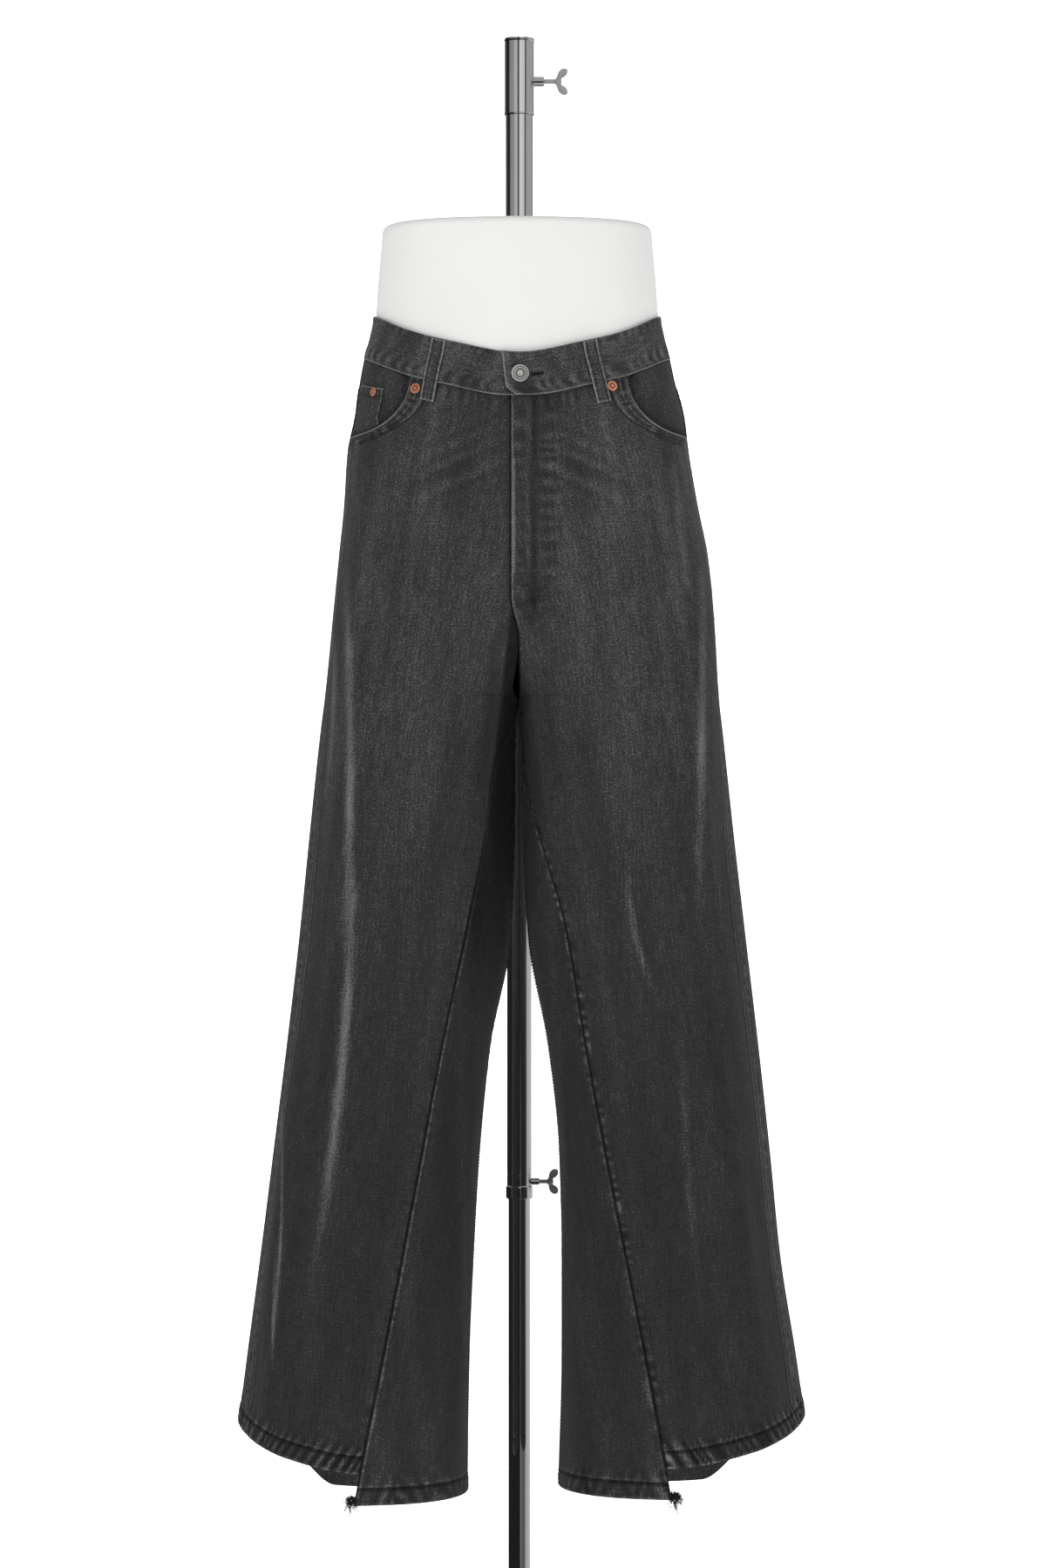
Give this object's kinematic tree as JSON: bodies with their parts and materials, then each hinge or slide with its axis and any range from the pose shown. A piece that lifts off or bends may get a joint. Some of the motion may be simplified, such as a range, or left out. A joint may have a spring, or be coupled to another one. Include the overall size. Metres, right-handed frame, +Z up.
{
  "type": "baggy jeans on a limbless hip form and pole stand",
  "caption": "Baggy five-pocket jeans with flared inset inner-leg panels, worn on a smooth limbless hip form that a telescoping pole stand carries.",
  "frame": {"origin": "on the floor plane, on the base plate's underside, straight below the middle of the hip form and the waist", "axes": "+Z up, -Y the way the front of the jeans faces, +X the wearer's left"},
  "size_m": [0.5585, 0.4512, 1.623],
  "materials": {
    "denim": "washed black twill",
    "form": "smooth matt white",
    "chrome": "polished",
    "cast": "satin cast",
    "rivet": "copper, worn",
    "button": "antique silver"
  },
  "bodies": {
    "stand_base": {"base_plate": "chrome", "base_hub": "chrome", "lower_tube": "chrome"},
    "pole": {"mid_tube": "chrome", "clamp_ring": "chrome"},
    "clamp_screw": {"clamp_wing_screw": "cast"},
    "form": {"sleeve_tube": "chrome", "top_collar": "chrome", "form_arm": "chrome", "hip_form": "form", "left_front_panel": "denim", "right_front_panel": "denim", "left_back_panel": "denim", "right_back_panel": "denim", "left_back_yoke": "denim", "right_back_yoke": "denim", "left_front_inset": "denim", "left_back_inset": "denim", "right_front_inset": "denim", "right_back_inset": "denim", "left_pocket_facing": "denim", "right_pocket_facing": "denim", "coin_pocket": "denim", "left_back_pocket": "denim", "right_back_pocket": "denim", "waistband": "denim", "left_front_loop": "denim", "right_front_loop": "denim", "left_back_loop": "denim", "right_back_loop": "denim", "middle_back_loop": "denim", "waist_button": "button", "left_pocket_rivet": "rivet", "right_pocket_rivet": "rivet", "coin_pocket_rivet": "rivet"},
    "collar_screw": {"collar_wing_screw": "cast"}
  },
  "joints": [
    {"name": "pole_height", "type": "slide", "parent": "stand_base", "child": "pole", "axis": [0, 0, 1], "range_m": [-0.1, 0.25]},
    {"name": "clamp_screw_turn", "type": "hinge", "parent": "pole", "child": "clamp_screw", "pos_m": [0.0287, 0.158, 0.4531], "axis": [1, 0, 0], "continuous": true},
    {"name": "form_turn", "type": "hinge", "parent": "pole", "child": "form", "pos_m": [0, 0.158, 1.5445], "axis": [0, 0, 1], "continuous": true},
    {"name": "collar_screw_turn", "type": "hinge", "parent": "form", "child": "collar_screw", "pos_m": [0.037, 0.158, 1.579], "axis": [1, 0, 0], "continuous": true}
  ]
}
